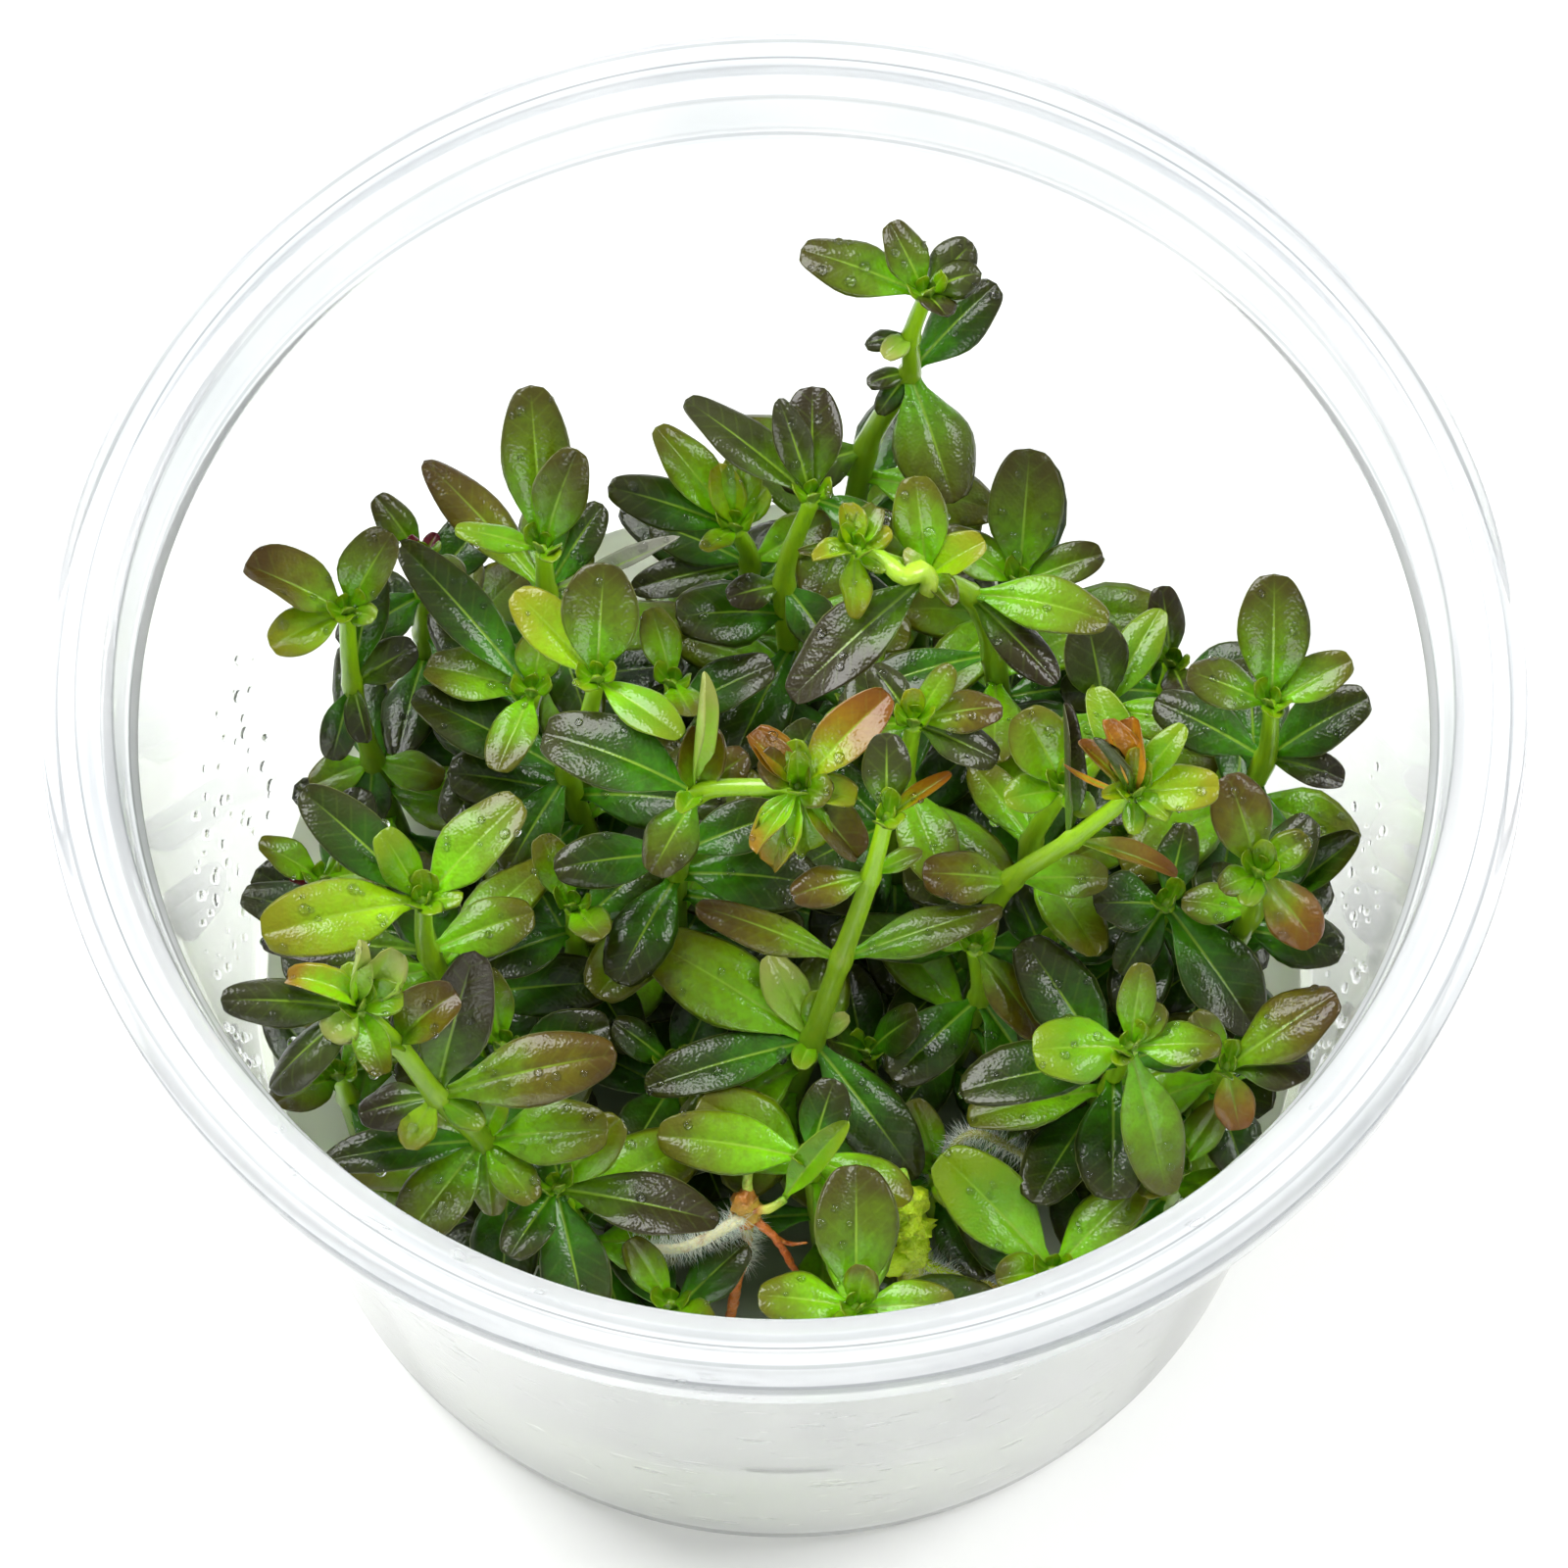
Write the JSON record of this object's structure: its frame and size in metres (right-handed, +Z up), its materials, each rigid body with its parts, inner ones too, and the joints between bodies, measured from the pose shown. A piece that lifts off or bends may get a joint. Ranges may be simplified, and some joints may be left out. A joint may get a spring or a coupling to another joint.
{
  "type": "rotala in a culture cup",
  "caption": "Rooted rotala shoots with crossed pairs of glossy oval leaves, growing in a layer of pale gel in a clear tapered cup with a wide rim.",
  "frame": {"origin": "centre of the cup's flat foot, on the surface it stands on", "axes": "+Z up along the cup's axis; +X to the right and +Y away from the viewer, with the low shoots and loose roots at -Y and the tallest shoot at +Y"},
  "size_m": [0.1, 0.1, 0.075],
  "materials": {
    "clear_plastic": "gloss",
    "culture_gel": "gloss",
    "leaf_green": "gloss",
    "leaf_olive": "gloss",
    "leaf_purple": "gloss",
    "leaf_yellow": "gloss",
    "leaf_amber": "gloss",
    "rusty_root": "satin",
    "callus": "satin",
    "water": "gloss"
  },
  "bodies": {
    "root": {"cup": "clear_plastic", "gel": "culture_gel", "root_crown": "rusty_root", "root_callus": "callus", "shoot_tall": "leaf_green", "shoot_back_left": "leaf_olive", "shoot_left": "leaf_olive", "shoot_mid_left": "leaf_green", "shoot_long": "leaf_olive", "shoot_back_stem": "leaf_purple", "shoot_back_mid": "leaf_green", "shoot_curl": "leaf_yellow", "shoot_back_fan": "leaf_olive", "shoot_right_back": "leaf_green", "shoot_amber": "leaf_amber", "shoot_mid": "leaf_amber", "shoot_pale_stem": "leaf_yellow", "shoot_pink": "leaf_yellow", "shoot_bright": "leaf_green", "shoot_right": "leaf_olive", "shoot_right_low": "leaf_yellow", "shoot_round": "leaf_purple", "shoot_amber_low": "leaf_amber", "shoot_dark_mid": "leaf_purple", "shoot_right_front": "leaf_green", "shoot_rim_right": "leaf_olive", "shoot_front_right": "leaf_green", "shoot_left_low": "leaf_yellow", "shoot_curly": "leaf_purple", "shoot_front_left": "leaf_purple", "shoot_front": "leaf_green", "shoot_low_mid": "leaf_green", "shoot_fill_back_left": "leaf_olive", "shoot_fill_back": "leaf_green", "shoot_fill_back_right": "leaf_olive", "shoot_fill_right": "leaf_purple", "shoot_fill_left": "leaf_green", "shoot_fill_mid_left": "leaf_green", "shoot_fill_middle": "leaf_green", "shoot_fill_low_left": "leaf_green", "shoot_fill_front_left": "leaf_olive", "shoot_fill_front": "leaf_green", "shoot_fill_right_front": "leaf_green", "shoot_fill_low": "leaf_green", "shoot_fill_back_mid": "leaf_green", "shoot_fill_edge_left": "leaf_olive", "shoot_fill_centre": "leaf_green", "shoot_fill_right_mid": "leaf_olive"}
  },
  "joints": []
}
